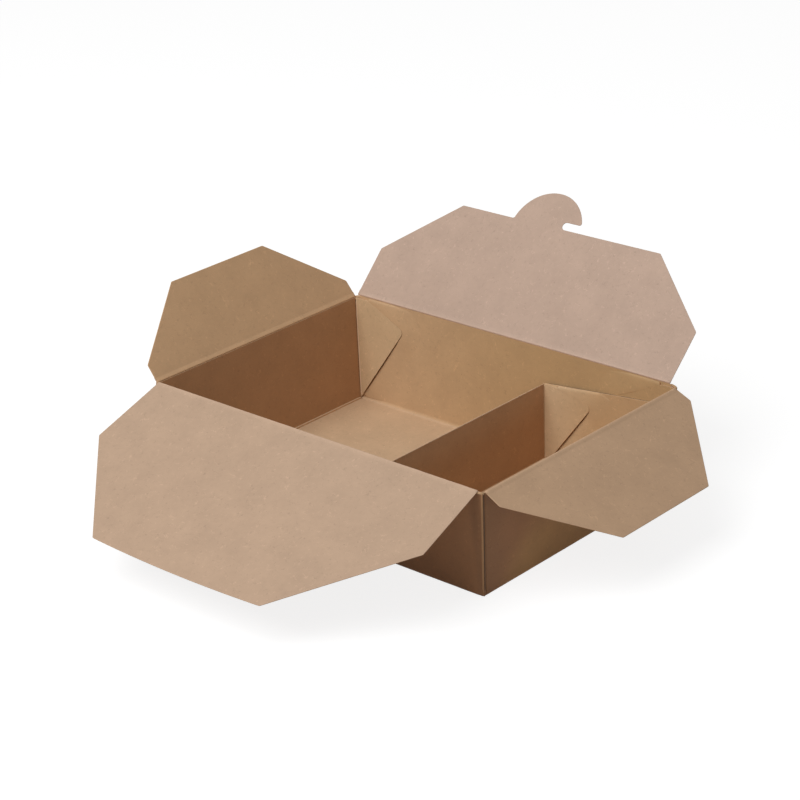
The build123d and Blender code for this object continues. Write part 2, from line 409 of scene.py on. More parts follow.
def piece(name, points, triangles, quads, node, body, values=None, material=None):
    """Writes a closed mesh, with its faces outwards, that rides on a body."""
    quads = np.asarray(quads, int).reshape(-1, 4)
    triangles = np.asarray(triangles, int).reshape(-1, 3)
    halves = np.vstack([triangles, quads[:, [0, 1, 2]], quads[:, [0, 2, 3]]])
    if volume(points, halves) < 0:
        triangles, quads = triangles[:, ::-1], quads[:, ::-1]
    mesh = bpy.data.meshes.new(name)
    mesh.from_pydata((points * METRE).tolist(), [], [*triangles.tolist(), *quads.tolist()])
    mesh.polygons.foreach_set("use_smooth", np.ones(len(mesh.polygons), bool))
    for key, value in (values or {}).items():
        mesh.attributes.new(key, "FLOAT", "POINT").data.foreach_set("value", value)
    mesh.materials.append(material or finishes[node])
    made = bpy.data.objects.new(name, mesh)
    bpy.context.scene.collection.objects.link(made)
    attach(made, body)
    return made


def tube_faces(rings, around):
    """Quads between the rings of a tube, and the two end fans as triangles."""
    ring, step = np.meshgrid(np.arange(rings - 1), np.arange(around), indexing="ij")
    a, b = ring * around + step, ring * around + (step + 1) % around
    quads = np.stack([a, b, b + around, a + around], -1).reshape(-1, 4)
    turn = np.arange(1, around - 1)
    first = np.stack([turn * 0, turn + 1, turn], -1)
    last = first[:, ::-1] + (rings - 1) * around
    return np.vstack([first, last]), quads


print("helpers ready")

# %% [markdown]
# ## A card with rounded cut edges
# A flap of real board is never quite flat, and its cut edge is a soft round 0.45 mm thick,
# which draws the thin light line round each flap. So a flap is built from its outline. The
# outline is set in by half the thickness and filled with triangles by a constrained
# Delaunay net, with points inside it so that it can bend. That sheet is laid above and below
# the middle surface, and a half round joins the two along the edge. Solidify and Bevel could
# do it too, but then the edge would have no points of its own to carry the tone of the cut.

# %% Outlines
ARC_POINTS = 7


def corner_arc(before, corner, after, radius):
    """Arc that rounds a corner: it touches both sides at radius / tan(half the angle)."""
    before, corner, after = (np.asarray(p, float) for p in (before, corner, after))
    one, two = unit(before - corner), unit(after - corner)
    half = math.acos(np.clip(one @ two, -1, 1)) / 2
    centre = corner + unit(one + two) * radius / math.sin(half)
    first = unit(corner + one * radius / math.tan(half) - centre)
    last = unit(corner + two * radius / math.tan(half) - centre)
    turn = math.pi - 2 * half
    s = np.linspace(0, 1, ARC_POINTS)[:, None]
    mixed = np.sin((1 - s) * turn) * first + np.sin(s * turn) * last
    return centre + radius * mixed / math.sin(turn)


def rounded(corners, radii):
    """Outline through corners, each rounded by its own radius."""
    ends = zip(np.roll(corners, 1, 0), corners, np.roll(corners, -1, 0), radii)
    return np.vstack([corner_arc(a, b, c, r) for a, b, c, r in ends])


def spaced(outline, step=3.0, least=0.04):
    """The closed outline with more points, so that no side is longer than the step."""
    closed = np.vstack([outline, outline[:1]])
    along = np.concatenate([[0], np.cumsum(np.linalg.norm(np.diff(closed, axis=0), axis=1))])
    stops = np.sort(np.concatenate([along[:-1], np.arange(0, along[-1], step)]))
    stops = stops[np.concatenate([[True], np.diff(stops) > least])]
    return np.stack([np.interp(stops, along, closed[:, k]) for k in (0, 1)], -1)


def set_in(outline, distance):
    """The outline moved inwards: each point goes along the mean of its two sides' normals."""
    ahead, behind = unit(np.roll(outline, -1, 0) - outline), unit(outline - np.roll(outline, 1, 0))
    normals = [np.stack([-side[:, 1], side[:, 0]], -1) for side in (ahead, behind)]
    mean = unit(normals[0] + normals[1])
    widen = 1 / np.clip(np.einsum("ij,ij->i", mean, normals[0]), 0.5, 1)
    area = np.cross(outline, np.roll(outline, -1, 0)).sum()
    return outline + mean * (widen * distance * np.sign(area))[:, None]


def inside(points, outline):
    """True for points in an outline: a ray to the right crosses it an odd number of times."""
    x, y = points[:, None, 0], points[:, None, 1]
    a, b = outline[None], np.roll(outline, -1, 0)[None]
    spans = (a[..., 1] > y) != (b[..., 1] > y)
    rise = np.where(b[..., 1] == a[..., 1], 1, b[..., 1] - a[..., 1])
    crossing = a[..., 0] + (y - a[..., 1]) / rise * (b[..., 0] - a[..., 0])
    return (spans & (crossing > x)).sum(1) % 2 == 1


print("outline tools ready")

# %% A card from its outline
FACE_MARGIN, NET_MARGIN = 0.15, 1.5
EDGE_STEPS = 4


def card(name, outline, place, node, body, layers=1.0, mesh_step=6.0, material=None):
    """A sheet of board within an outline, laid by place(flat points, height) -> points.

    The two faces are set in by r + FACE_MARGIN. Between them lies the half round, at set-in
    r (1 - cos a) and height r sin a, for a from +90 to -90 degrees.
    """
    r = BOARD * layers / 2
    outline = spaced(outline)
    inner = set_in(outline, r + FACE_MARGIN)
    low, high = inner.min(0), inner.max(0)
    net = np.stack(np.meshgrid(*[np.arange(a, b, mesh_step) for a, b in zip(low, high)]), -1)
    net = net.reshape(-1, 2)
    net = net[inside(net, set_in(outline, r + NET_MARGIN))]
    count = len(inner)
    flat = [Vector(p) for p in np.vstack([inner, net]).tolist()]
    ring = list(range(count))
    sides = list(zip(ring, ring[1:] + ring[:1]))
    sheet, _, faces, *_ = delaunay_2d_cdt(flat, sides, [ring], 1, 1e-6)
    sheet, faces = np.array([tuple(p) for p in sheet]), np.array([tuple(f) for f in faces])
    angles = np.linspace(math.pi / 2, -math.pi / 2, EDGE_STEPS + 1)
    rings = [place(set_in(outline, r * (1 - math.cos(a))), r * math.sin(a)) for a in angles]
    points = np.vstack([place(sheet, r), place(sheet, -r), *rings])
    size = len(sheet)
    starts = [0, *(2 * size + k * count for k in range(len(rings))), size]
    turn = np.arange(count)
    following = (turn + 1) % count
    quads = [
        np.stack([a + turn, b + turn, b + following, a + following], -1)
        for a, b in zip(starts, starts[1:])
    ]
    triangles = np.vstack([faces, faces[:, ::-1] + size])
    cut_and_highlight = np.zeros(len(points))
    cut_and_highlight[2 * size + count:len(points) - count] = 1
    upward = np.repeat(np.sin(angles) / 2 + 0.5, count)
    face = np.concatenate([np.ones(size), np.zeros(size), upward])
    assert np.allclose(sheet[:count], inner, atol=1e-4), "the net moved the outline"
    values = {"cut_and_highlight": cut_and_highlight, "face": face}
    made = piece(name, points, triangles, np.vstack(quads), node, body, values, material)
    # The edges round the two faces are marked sharp, so that the faces stay flat to the eye.
    ends = np.empty(2 * len(made.data.edges), int)
    made.data.edges.foreach_get("vertices", ends)
    ends = ends.reshape(-1, 2)
    rim = [((ends >= first) & (ends < first + count)).all(1) for first in (0, size)]
    apart = np.isin(abs(ends[:, 0] - ends[:, 1]), (1, count - 1))
    sharp = made.data.attributes.new("sharp_edge", "BOOLEAN", "EDGE")
    sharp.data.foreach_set("value", (rim[0] | rim[1]) & apart)
    print(name, len(points), "points", len(triangles), "triangles")
    return made


# %% [markdown]
# ## The lid flaps
# Each flap hangs from a crease line a little outside and above the rim. Its outline is
# measured from the crease: narrow at the crease, widest a little way out, then drawn in to
# the outer edge. The creases step up by one thickness of board, so the closed flaps can lie
# on each other. A slight curl, zero at the crease, keeps the sheets from looking like glass.

# %% Where a flap lies
def flap_place(outward, half_span, lift, angle, reach, span, curl):
    """Lays flat points (u along the crease, v away from it) and a height at the open angle.

    Height gains curl ((2u / span)^2 - 1/3) (v / reach)^2, so the sheet bends at its edge.
    """
    outward = np.array([*outward, 0.0])
    along = np.cross(UP, outward)
    rising = outward * math.cos(math.radians(angle)) + UP * math.sin(math.radians(angle))
    normal = np.cross(rising, along)
    normal *= np.sign(normal[2])
    axis = outward * (half_span + lift * math.tan(LEAN) + CREASE_OFFSET)
    axis = axis + UP * (DEPTH + lift + BOARD * math.sin(LEAN) + CREASE_OFFSET)

    def place(flat, height):
        u, v = flat[:, 0], flat[:, 1]
        bend = curl * ((2 * u / span) ** 2 - 1 / 3) * np.clip(v / reach, 0, 1) ** 2
        return axis + np.outer(u, along) + np.outer(v, rising) + np.outer(height + bend, normal)

    return place


def flap_corners(span, insets, widest_at, reach):
    """Six corners: the ends of the crease, of the widest place and of the outer edge."""
    crease, widest, edge = (span / 2 - inset for inset in insets)
    half = np.array([[crease, -BOARD / 2], [widest, widest_at], [edge, reach]])
    return np.vstack([half, half[::-1] * [-1, 1]])


def flap_card(side, corners, outline, place, mesh_step=6.0):
    """A flap's card, in place of the measured flap, and what its crease's bead needs of it."""
    node = f"{side}_flap"
    made = card(f"{node}_card", outline, place, node, node, mesh_step=mesh_step)
    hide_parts(node)
    places[side], crease_ends[side] = place, (corners[-1, 0], corners[0, 0])


CORNER_RADII = [0.3, 1.4, 1.4, 1.4, 1.4, 0.3]
HALF_OUTLINE = 3 * ARC_POINTS
LONG_CURL, SHORT_CURL = 0.7, 0.3
FRONT_LIFT, BACK_LIFT = CREASE_STEP, 2 * CREASE_STEP
places, crease_ends = {}, {}
print("lifts of the long creases", FRONT_LIFT, BACK_LIFT)

# %% Front flap and side flaps
FRONT_ANGLE, FRONT_REACH, FRONT_BOW = -20.5, 92.5, 1.3
place = flap_place((0, -1), RIM[1] / 2, FRONT_LIFT, FRONT_ANGLE, FRONT_REACH, RIM[0], LONG_CURL)
corners = flap_corners(RIM[0], (2.0, 0.3, 48.4), 40.0, FRONT_REACH)
outline = rounded(corners, CORNER_RADII)
across = np.linspace(0.92, -0.92, 15) * corners[2, 0]
edge = np.stack([across, FRONT_REACH + FRONT_BOW * (1 - (across / corners[2, 0]) ** 2)], -1)
outline = np.vstack([outline[:HALF_OUTLINE], edge, outline[HALF_OUTLINE:]])
flap_card("front", corners, outline, place)

# In the picture no gap shows at the back left corner, so creases there are a little longer.
SIDE_INSETS, SIDE_WIDEST_AT = (1.7, 1.2, 38.7), 9.2
LEFT_LONGER = [1.0, 0.3, 0, 0, -0.3, -1.0]
for side, outward, angle, reach, longer in (
        ("left", -1, 51.3, 42.4, LEFT_LONGER), ("right", 1, -26.8, 50.0, 0)):
    place = flap_place((outward, 0), RIM[0] / 2, 0, angle, reach, RIM[1], SHORT_CURL)
    corners = flap_corners(RIM[1], SIDE_INSETS, SIDE_WIDEST_AT, reach)
    corners[:, 0] += longer
    flap_card(side, corners, rounded(corners, CORNER_RADII), place)

# %% [markdown]
# ## The hook
# The back flap's edge carries a round hook that tucks behind the front flap. Its mouth is a
# slot along the edge with a round blind end. The outline goes round it in one line: up the
# hook's round back, over the top to the tip, in along the slot, round its end and back out.

# %% Back flap with its hook
def arc(centre, radius, first, last, count):
    """Points on a circle from one angle to another, in degrees."""
    angles = np.radians(np.linspace(first, last, count))
    return np.asarray(centre) + radius * np.stack([np.cos(angles), np.sin(angles)], -1)


BACK_ANGLE, REACH = 47.2, 59.5
HOOK, SINK, OFFSET, MOUTH, MOUTH_END = 20.8, 3.0, 7.8, 4.0, 8.9
ROOT_RADIUS, TIP_RADIUS = 1.2, 1.1
BACK_LONGER = [2.2, 0.6, 0, 0, 0, 1.0]
corners = flap_corners(RIM[0], (3.0, 2.4, 39.0), 26.5, REACH)
corners[:, 0] += BACK_LONGER
body_line = rounded(corners, CORNER_RADII)
tip = np.array([OFFSET - math.sqrt(HOOK**2 - (SINK + MOUTH) ** 2), REACH + MOUTH])
root_angle, tip_angle = (math.degrees(math.asin(rise / HOOK)) for rise in (SINK, SINK + MOUTH))
round_back = arc((OFFSET, REACH - SINK), HOOK, root_angle + 5, 174 - tip_angle, 44)
root_corner = (OFFSET + math.sqrt(HOOK**2 - SINK**2), REACH)
root = corner_arc(corners[2], root_corner, round_back[0], ROOT_RADIUS)
tip_line = corner_arc(round_back[-1], tip, tip + [9, 0], TIP_RADIUS)
slot_end = arc((OFFSET - MOUTH_END - MOUTH / 2, REACH + MOUTH / 2), MOUTH / 2, 90, -90, 12)
hook_line = [root, round_back, tip_line, slot_end]
outline = np.vstack([body_line[:HALF_OUTLINE], *hook_line, body_line[HALF_OUTLINE:]])
place = flap_place((0, 1), RIM[1] / 2, BACK_LIFT, BACK_ANGLE, REACH, RIM[0], LONG_CURL)
flap_card("back", corners, outline, place, mesh_step=5.0)

# %% [markdown]
# ## Beads along the creases
# A creasing rule presses a groove into the outside of the board and raises a bead inside the
# fold. Each bead shows as a thin pale line: its round catches the light, and the paler tone that
# it is given is painted highlight. Round the four lid creases a bead is a half round on the hinge
# line itself, so it looks the same however far the flap is turned. On the flap's side it is
# drawn out until it is as thin as the board, because a plain tube would leave a dark groove
# there. Its radius wavers a little, as pressed board does. A bevel on the flap's own edge could
# do it too, but it would leave the flap's corner at the wall open.

# %% Tubes and lid creases
def tube(name, path, radii, node, body, around=12, material=None):
    """Circles carried along a path, each square to it, with the ends drawn in and closed."""
    path, radii = np.asarray(path, float), np.asarray(radii, float)
    heading = unit(np.gradient(path, axis=0))
    steady = np.where(abs(heading[:, 2:]) > 0.8, [[1.0, 0, 0]], [[0, 0, 1.0]])
    side = unit(np.cross(heading, steady))[:, None]
    third = np.cross(heading[:, None], side)
    turn = np.linspace(0, 2 * math.pi, around, endpoint=False)[None, :, None]
    circle = np.cos(turn) * side + np.sin(turn) * third
    points = path[:, None] + radii[:, None, None] * circle
    triangles, quads = tube_faces(len(path), around)
    return piece(name, points.reshape(-1, 3), triangles, quads, node, body, None, material)


def wavering(count, radius, share=0.06, ends=2):
    """A radius that wavers by a sum of three sines and shrinks towards both ends."""
    s = np.linspace(0, 1, count)
    waves = np.sin(31 * s + 1) + np.sin(53 * s + 2) + np.sin(97 * s + 4)
    closing = np.clip(np.minimum(np.arange(count), np.arange(count)[::-1]) / ends, 0.35, 1)
    return radius * (1 + share * waves / 3) * closing


# The paler tone of a bead is painted highlight.
BEAD_RADIUS, BEAD_LENGTH, BEAD_HIGHLIGHT = 0.57, 2.4, 1.25


def crease_bead(side, count=92):
    """Section carried along a crease: r (cos a, sin a) for a from 90 to 270 degrees.

    On the flap's side the half height goes from r to the board's, less 0.03 mm, by
    (1 - t)^2 (1 + 2 t) for t along the length, above and mirrored below.
    """
    first, last = crease_ends[side]
    u = np.concatenate([[first], np.linspace(first + 0.3, last - 0.3, count - 2), [last]])
    r = wavering(count, BEAD_RADIUS, 0.06, 0.5)[:, None]
    t, turn = np.linspace(1, 0, 7), np.radians(np.linspace(90, 270, 11))[1:-1]
    thin = BOARD / 2 - 0.03
    taper = thin + (r - thin) * (1 - t) ** 2 * (1 + 2 * t)
    ahead = t * BEAD_LENGTH + 0 * r
    v = np.concatenate([ahead, r * np.cos(turn), ahead[:, ::-1]], 1)
    height = np.concatenate([taper, r * np.sin(turn), -taper[:, ::-1]], 1)
    flat = np.stack([u[:, None] + 0 * v, v], -1).reshape(-1, 2)
    points = places[side](flat, height.reshape(-1))
    upper = np.arange(v.shape[1]) < len(t) + len(turn)
    # Painted highlight: a paler tone on the bead's round, fading fast along its drawn-out sides.
    pale = BEAD_HIGHLIGHT * np.concatenate([(1 - t) ** 3, 1 + 0 * turn, (1 - t[::-1]) ** 3])
    values = {"face": np.tile(upper * 1.0, count), "cut_and_highlight": np.tile(pale, count)}
    triangles, quads = tube_faces(count, v.shape[1])
    node = f"{side}_flap"
    return piece(f"{side}_crease_bead", points, triangles, quads, node, node, values)


for side in places:
    crease_bead(side)
print("beads", {side: np.round(ends, 1).tolist() for side, ends in crease_ends.items()})

# %% [markdown]
# ## Folds inside the tray
# Where a short wall rises from the floor the bead is pressed inwards: a small quarter round
# whose top catches the light and whose foot is in shade. Along the long walls the fold opens
# softly instead, as a hollow that shows as a paler band. Both are a profile carried along the
# foot of a wall. At the corners the web's fold stands up in the same way.

# %% Floor folds
def wall_line(side_x, side_y, heights, inset_x, inset_y):
    """Points up a corner of the box at some heights, set in from both outer faces."""
    out = WALL_LEAN / DEPTH * heights
    x = side_x * (BASE[0] / 2 + out - inset_x / math.cos(LEAN))
    y = side_y * (BASE[1] / 2 + out - inset_y / math.cos(LEAN))
    return np.stack([x, y, heights], -1)


def fold_bead(name, start, end, inward, radius, hollow=False, sunk=0.04, count=70):
    """Quarter round along a line: radius (cos a inward + sin a up), closed under the board.

    A hollow one is radius ((1 - sin a) inward + (1 - cos a) up) for the same angles.
    """
    wall_up = unit(UP * math.cos(LEAN) - inward * math.sin(LEAN))
    angles = np.linspace(0, math.pi / 2, 8)
    a, b = np.cos(angles)[:, None], np.sin(angles)[:, None]
    outer = (1 - b) * inward + (1 - a) * wall_up if hollow else a * inward + b * wall_up
    section = np.vstack([radius * outer, [-0.25 * (inward + wall_up)]]) - sunk * (inward + wall_up)
    path = start + np.linspace(0, 1, count)[:, None] * (end - start)
    swell = wavering(count, 1.0, 0.05, 1)[:, None, None]
    points = path[:, None] + section[None] * swell
    triangles, quads = tube_faces(count, len(section))
    return piece(name, points.reshape(-1, 3), triangles, quads, "tray", "tray")


SOFT_FOLD, PRESSED_FOLD = 2.0, 0.8
floor_height = np.array([BOARD])
foot = {(x, y): wall_line(x, y, floor_height, BOARD, BOARD)[0] for x, y in CORNERS}
for y in (1, -1):
    inward = np.array([0, -1.0 * y, 0])
    fold_bead(f"{side_name(y)}_floor_fold", foot[-1, y], foot[1, y], inward, SOFT_FOLD, hollow=True)
for side, x in (("left", -1), ("right", 1)):
    inward = np.array([-1.0 * x, 0, 0])
    fold_bead(f"{side}_floor_fold", foot[x, -1], foot[x, 1], inward, PRESSED_FOLD)
print("floor folds of radius", SOFT_FOLD, "and", PRESSED_FOLD)

# %% [markdown]
# ## Corner webs
# At each corner the sheet is not cut but folded in two, and the double web lies inside the
# long wall, with its diagonal fold free. It springs off the wall a little, most near the foot
# of the diagonal, which shows as a dark line that thins out towards the tip. The web is a
# card on the wall's inner face whose height over the wall grows towards the diagonal.

# %% Webs
def turned(vector, degrees):
    """A flat vector turned anticlockwise."""
    c, s = math.cos(math.radians(degrees)), math.sin(math.radians(degrees))
    return np.array([c * vector[0] - s * vector[1], s * vector[0] + c * vector[1]])


def on_wall(x, up, depth, mirror):
    """Points over a long wall: along it, up its slope, and in from its outer face."""
    y = -BASE[1] / 2 - up * math.sin(LEAN) + depth * math.cos(LEAN)
    z = up * math.cos(LEAN) + depth * math.sin(LEAN)
    return np.stack([x, y, z], -1) * mirror


LIFT_OFF, WEB_SKIN, WEB_SPRING = 0.75, 0.33, 0.35
WEB_REACH, WEB_TIP_RADIUS, WEB_RIM_RADIUS = 7.6, 2.4, 0.8
# The skins' own diagonals, a little short of the measured ones, and the divider's start.
SKIN_DIAGONAL, DIVIDER_SKIN_DIAGONAL, DIVIDER_SKIN_START = 49.8, 39.2, 3.2


def web(name, foot, top, turn, diagonal, reach, inset, mirror, node, start=0.0, material=None):
    """Corner web over a long wall, drawn in flat x and the distance up the wall.

    The diagonal starts at a distance from the foot, turned off the corner's edge. The web
    springs off the wall by the square of the share of the way from the corner to the
    diagonal, which fades to nothing at the foot and towards the tip.
    """
    foot, top = np.array(foot), np.array(top)
    edge = top - foot
    sign = np.sign(reach)
    toe = foot - [sign * start, 0]
    slope = turned(unit(edge), turn)
    tip = toe + slope * diagonal
    bottom, radii = ([foot, toe], [0.2, 0.4]) if start else ([foot], [0.2])
    radii = [*radii, WEB_TIP_RADIUS, WEB_RIM_RADIUS, 0.4]
    outline = rounded([*bottom, tip, top - [reach, 0], top], radii)

    def place(flat, height):
        x, up = flat[:, 0], flat[:, 1]
        corner = foot[0] + edge[0] * (up - foot[1]) / edge[1]
        width = abs(toe[0] + slope[0] * (np.minimum(up, tip[1]) - toe[1]) / slope[1] - corner)
        share = np.clip((corner - x) * sign / np.maximum(width, 1.0), 0, 1.1)
        rise = (up - foot[1]) / (tip[1] - foot[1])
        lifted = WEB_SPRING * share**2 * np.clip(rise / 0.12, 0, 1) * np.clip(1.15 - rise, 0, 1)
        return on_wall(x, up, inset + WEB_SKIN * BOARD / 2 + 0.02 + lifted + height, mirror)

    return card(name, outline, place, node, "tray", WEB_SKIN, 1.4, material=material)


EDGE_TURN = math.degrees(math.atan2(WALL_LEAN, SLANT))
DIAGONAL_TURN = 45.6
for y in (-1, 1):
    web(f"left_{side_name(y)}_web", (BASE[0] / 2 - LIFT_OFF, LIFT_OFF),
        (RIM[0] / 2 - LIFT_OFF, SLANT - 0.1), DIAGONAL_TURN - EDGE_TURN, SKIN_DIAGONAL,
        WEB_REACH, 3 * BOARD, np.array([-1.0, -y, 1.0]), "tray", material=small["web"])

# %% Webs of the divider
UPRIGHT_LEAN = math.degrees(math.atan2(DIVIDER_LEAN, DIVIDER_HEIGHT - BOARD))
HALF_LEANS = (UPRIGHT_LEAN + EDGE_TURN) / 2
low_up, high_up = (
    (z - CHEEK_INSET * math.sin(LEAN)) / math.cos(LEAN) for z in (BOARD, DIVIDER_HEIGHT))
for y in (-1, 1):
    web(f"divider_{side_name(y)}_web", (DIVIDER_FOOT + LIFT_OFF, low_up + LIFT_OFF),
        (DIVIDER_TOP + LIFT_OFF, high_up - 0.1), HALF_LEANS - DIAGONAL_TURN,
        DIVIDER_SKIN_DIAGONAL, -WEB_REACH, CHEEK_INSET + 3 * BOARD,
        np.array([1.0, -y, 1.0]), "divider_insert", DIVIDER_SKIN_START)

# %% [markdown]
# ## Board pressed up beside the webs
# The glue and the press leave the wall slightly raised where it meets a web, so the web's tip
# and upper edge are nearly flush and only the lower part of the diagonal shows a dark gap. A
# low swell follows the web's outline: highest beside the web, and gone 14 mm further out, or
# cut off by the rim. It is a strip on a grid, one parameter along the outline and one across.

# %% Swells beside the webs
SWELL_WIDTH, TIP_START, TIP_END = 14.0, 0.57, 0.66


def swell(name, corners, heights, inset, ceiling, floor, mirror, node, laps, count=80, rows=14):
    """Strip beside the line through corners: height h (1 - t)^2 (1 + 2 t), t = distance / width.

    It starts at a distance from the web, laps[0] along the diagonal and laps[1] along the
    upper edge, less than 0 over the web. It ends at the floor and at the ceiling, the line
    up = ceiling[0] + ceiling[1] (x - top x), where it sinks by 0.3 mm in the last 1.5 mm.
    """
    path = np.vstack([corners[:1], corner_arc(*corners, 2.0), corners[2:]])
    along = np.concatenate([[0], np.cumsum(np.linalg.norm(np.diff(path, axis=0), axis=1))])
    stops = np.linspace(0, along[-1], count)
    path = np.stack([np.interp(stops, along, path[:, k]) for k in (0, 1)], -1)
    heading = unit(np.gradient(path, axis=0))
    out = np.stack([heading[:, 1], -heading[:, 0]], -1)
    out *= np.sign(out[-1, 1])
    above = ceiling[0] + ceiling[1] * (path[:, 0] - corners[2, 0]) - path[:, 1]
    upwards = above / np.maximum(out[:, 1] - ceiling[1] * out[:, 0], 1e-3)
    room = np.where(out[:, 1] > 0, upwards, (floor - path[:, 1]) / out[:, 1])
    width = np.clip(room, 0.3, SWELL_WIDTH)
    high = np.interp(stops / along[-1], *np.transpose(heights))
    t = np.linspace(0, 1, rows)
    lap = np.interp(stops / along[-1], [TIP_START, TIP_END], laps)[:, None]
    far = lap + t * (width[:, None] - lap)
    flat = path[:, None] + out[:, None] * far[:, :, None]
    share = np.clip(far / SWELL_WIDTH, 0, 1)
    rise = high[:, None] * (1 - share) ** 2 * (1 + 2 * share) - 0.04 - 0.12 * np.clip(-far, 0, 1)
    rise -= 0.3 * np.clip(1 - (upwards[:, None] - far) / 1.5, 0, 1) ** 2 * (out[:, 1:] > 0)
    top = on_wall(flat[..., 0], flat[..., 1], inset + rise, mirror).reshape(-1, 3)
    under = on_wall(flat[..., 0], flat[..., 1], inset + 0 * rise - 0.25, mirror).reshape(-1, 3)
    grid = np.arange(count * rows).reshape(count, rows)
    quads = np.stack([grid[:-1, :-1], grid[1:, :-1], grid[1:, 1:], grid[:-1, 1:]], -1)
    quads = quads.reshape(-1, 4)
    border = np.concatenate([grid[:-1, 0], grid[-1, :-1], grid[:0:-1, -1], grid[0, :0:-1]])
    after = np.roll(border, -1)
    size = count * rows
    sides = np.stack([after, border, border + size, after + size], -1)
    points = np.vstack([top, under])
    return piece(name, points, [], np.vstack([quads, quads[:, ::-1] + size, sides]), node, "tray")


web_corner = np.array([BASE[0] / 2, 0.0])
web_rim = np.array([RIM[0] / 2, SLANT])
web_tip = web_corner + turned(unit(web_rim - web_corner), 45 - EDGE_TURN) * WEB_DIAGONAL
outline = np.array([web_corner + (web_tip - web_corner) * 0.06, web_tip, web_rim - [8.6, 0.45]])
PRESSED = [(0, 0.45), (0.3, 0.35), (0.5, 0.5), (0.58, 0.78), (0.64, 0.9), (1, 0.9)]
COVERED = [(0, 0.98), (1, 0.98)]
FLUSH = [(0, 0.45), (0.3, 0.35), (0.54, 0.45), (0.61, 0.8), (0.66, 1.15), (1, 1.15)]
for x, y in CORNERS:
    heights, laps = (COVERED, (-0.8, -0.8)) if x > 0 else (PRESSED, (0.06, 0.0))
    ceiling = (SLANT + (0.85 if y > 0 else 0.3), 0.0)
    swell(f"{corner_name(x, y)}_web_swell", outline, heights, BOARD, ceiling, BOARD + 1.2,
          np.array([x, -y, 1.0]), "tray", laps)

divider_top = np.array([DIVIDER_TOP, high_up])
divider_toe = np.array([DIVIDER_FOOT + DIVIDER_WEB_FOOT, low_up])
divider_edge = unit(divider_top - np.array([DIVIDER_FOOT, low_up]))
divider_tip = divider_toe + turned(divider_edge, HALF_LEANS - 45) * DIVIDER_WEB_DIAGONAL
outline = np.array([
    divider_toe + (divider_tip - divider_toe) * 0.06, divider_tip, divider_top + [8.8, -0.3],
])
ceiling = (high_up + 0.75, CHEEK_RISE / (CHEEK_SHOULDER - DIVIDER_TOP))
for y in (-1, 1):
    swell(f"divider_{side_name(y)}_web_swell", outline, FLUSH, CHEEK_INSET + BOARD, ceiling,
          low_up + 0.8, np.array([1.0, -y, 1.0]), "divider_insert", (0.06, -1.8))
print("swells", len(CORNERS), "in the tray and 2 in the divider")

# %% Upright folds in the corners
heights = np.linspace(1.4, DEPTH - 0.2, 50)
web_face = (3 + WEB_SKIN) * BOARD
# The left corners' folds take the pale fold tone, a painted highlight.
for y in (-1, 1):
    line = wall_line(-1, y, heights, BOARD + 0.62, web_face - 0.08)
    radii = wavering(50, 0.40, 0.06)
    tube(f"left_{side_name(y)}_inner_fold", line, radii, "tray", "tray", 10, small["fold"])

heights = np.linspace(1.6, DIVIDER_HEIGHT + 0.5, 40)
for y in (-1, 1):
    line = wall_line(1, y, heights, 0, CHEEK_INSET + web_face - 0.15)
    lean = DIVIDER_LEAN / (DIVIDER_HEIGHT - BOARD)
    line[:, 0] = DIVIDER_FOOT - (heights - BOARD) * lean + BOARD - 0.15
    radii = wavering(40, 0.38, 0.08)
    tube(f"divider_{side_name(y)}_fold", line, radii, "divider_insert", "tray", 10)
print("upright folds 4")

# %% [markdown]
# ## Edges of the divider
# The cut top of the upright catches the light along its whole length. The cheeks stand a
# little off the long walls, which draws a thin dark line of shade along their tops. The edge
# is a slim tube whose pale tone is painted highlight, and the shade a slim dark tube in the gap,
# which is painted shade.

# %% Divider's top edge and the shade behind the cheeks
CHEEK_END = 98.8
half = RIM[1] / 2 - (DEPTH - DIVIDER_HEIGHT) * math.tan(LEAN) - CHEEK_INSET - BOARD
across = np.linspace(-half, half, 60)
middle, top = np.full(60, DIVIDER_TOP + BOARD / 2), np.full(60, DIVIDER_HEIGHT - 0.1)
line = np.stack([middle, across, top], -1)
# Its pale crease tone is painted highlight.
tube("divider_top_edge", line, wavering(60, 0.34), "divider_insert", "tray", 12, small["crease"])

# The cheek's top: a straight slope, then an arc that starts along it and ends at the chord.
crest = np.array([[DIVIDER_TOP, DIVIDER_HEIGHT], [CHEEK_SHOULDER, DIVIDER_HEIGHT + CHEEK_RISE]])
slope = unit(crest[1] - crest[0])
chord = np.array([CHEEK_END, DEPTH - CHEEK_END_DROP]) - crest[1]
bow = np.array([-slope[1], slope[0]])
radius = chord @ chord / (2 * chord @ bow)
turns = np.linspace(0, 2 * math.atan2(chord @ bow, chord @ slope), 20)[1:, None]
climb = crest[1] + radius * (np.sin(turns) * slope + (1 - np.cos(turns)) * bow)
straight = crest[0] + np.linspace(0.01, 1, 50)[:, None] * (crest[1] - crest[0])
profile = np.vstack([straight, climb])
for y in (-1, 1):
    behind = BASE[1] / 2 + profile[:, 1] * math.tan(LEAN) - CHEEK_INSET / math.cos(LEAN) + 0.10
    line = np.stack([profile[:, 0], y * behind, profile[:, 1] - 0.05], -1)
    tube(f"{side_name(y)}_cheek_shade", line, wavering(len(line), 0.25, 0.30),
         "divider_insert", "tray", 10, small["soft_shade"])
print("cheek tops", len(profile), "points")

# %% [markdown]
# ## Outside corners
# Outside, the doubled board of each corner shows as a slim upright roll, with a dark line of
# shade in the seam beside it on the short wall, and a small curl at the rim where the fold opens.
# Roll and seam are tubes sunk most of the way into the wall, and the seam's tube is near black,
# as painted shade. The roll bends outwards in its last millimetre, and the curl runs on from it
# to the long wall's crease.

